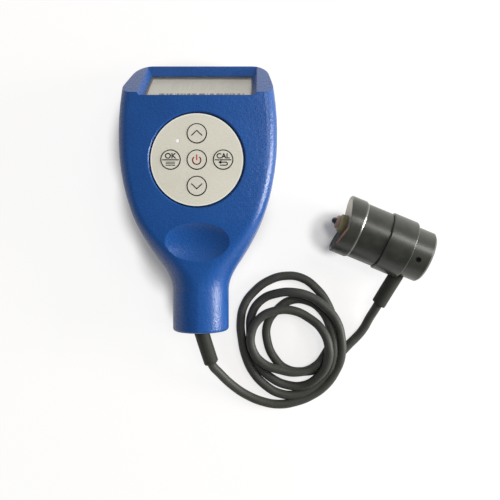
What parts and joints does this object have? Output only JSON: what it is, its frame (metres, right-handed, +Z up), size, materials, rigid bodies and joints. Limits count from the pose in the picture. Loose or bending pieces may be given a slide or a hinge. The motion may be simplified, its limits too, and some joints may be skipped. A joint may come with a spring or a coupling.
{
  "type": "coating thickness gauge",
  "caption": "Hand-held coating thickness gauge with a slanted display, a round keypad and a loosely looped cable to a separate cylindrical probe.",
  "frame": {"origin": "middle of the handset's flat back, on the surface it lies on", "axes": "+Z up out of the keypad face, +Y along the handset towards the display end, +X to the side where the cable and the probe lie"},
  "size_m": [0.1213, 0.1392, 0.028],
  "materials": {
    "shell_blue": "fine matt texture",
    "keypad_beige": "matt printed film",
    "window_clear": "clear, glossy",
    "display_grey": "reflective display",
    "black_plastic": "moulded",
    "board_green": "solder mask",
    "ivory_plastic": "moulded",
    "film_amber": "flexible circuit",
    "lamp_clear": "clear",
    "cell_jacket": "printed sleeve",
    "steel": "bright",
    "cable_black": "smooth, slightly glossy",
    "anodised_black": "black anodised, turned",
    "brass": "turned",
    "copper": "enamelled wire winding"
  },
  "bodies": {
    "gauge": {"front_shell": "shell_blue", "rear_shell": "shell_blue", "battery_left": "cell_jacket", "battery_right": "cell_jacket", "battery_springs": "steel", "battery_contacts": "steel", "main_board": "board_green", "processor": "black_plastic", "key_switches": "black_plastic", "board_connector": "ivory_plastic", "board_screws": "steel", "display_window": "window_clear", "display_panel": "display_grey", "display_frame": "black_plastic", "display_ribbon": "film_amber", "keypad_plate": "keypad_beige", "indicator_window": "lamp_clear", "indicator_lamp": "lamp_clear", "shell_screws": "steel", "inner_lead": "cable_black", "handset_sleeve": "cable_black", "probe_cable": "cable_black", "probe_sleeve": "cable_black", "probe_nose": "anodised_black", "probe_barrel": "anodised_black", "probe_collar": "anodised_black", "rear_cap": "anodised_black", "set_screw": "steel", "sensor_spring": "steel", "terminal_disc": "board_green"},
    "key_up": {"key_up": "keypad_beige"},
    "key_down": {"key_down": "keypad_beige"},
    "key_ok": {"key_ok": "keypad_beige"},
    "key_cal": {"key_cal": "keypad_beige"},
    "key_power": {"key_power": "keypad_beige"},
    "battery_cover": {"battery_cover": "shell_blue"},
    "sensor": {"sensor_holder": "steel", "sensor_core": "steel", "sensor_bush": "brass", "sensor_coil": "copper"}
  },
  "joints": [
    {"name": "key_up_press", "type": "slide", "parent": "gauge", "child": "key_up", "axis": [0, 0, -1], "range_m": [0, 0.0003], "stiffness_N_per_m": 400, "springref_m": -0.0005},
    {"name": "key_down_press", "type": "slide", "parent": "gauge", "child": "key_down", "axis": [0, 0, -1], "range_m": [0, 0.0003], "stiffness_N_per_m": 400, "springref_m": -0.0005},
    {"name": "key_ok_press", "type": "slide", "parent": "gauge", "child": "key_ok", "axis": [0, 0, -1], "range_m": [0, 0.0003], "stiffness_N_per_m": 400, "springref_m": -0.0005},
    {"name": "key_cal_press", "type": "slide", "parent": "gauge", "child": "key_cal", "axis": [0, 0, -1], "range_m": [0, 0.0003], "stiffness_N_per_m": 400, "springref_m": -0.0005},
    {"name": "key_power_press", "type": "slide", "parent": "gauge", "child": "key_power", "axis": [0, 0, -1], "range_m": [0, 0.0003], "stiffness_N_per_m": 400, "springref_m": -0.0005},
    {"name": "battery_cover_slide", "type": "slide", "parent": "gauge", "child": "battery_cover", "axis": [0, 1, 0], "range_m": [0, 0.03]},
    {"name": "sensor_plunge", "type": "slide", "parent": "gauge", "child": "sensor", "axis": [0.9239, -0.3827, 0], "range_m": [0, 0.003], "stiffness_N_per_m": 300, "springref_m": -0.003}
  ]
}
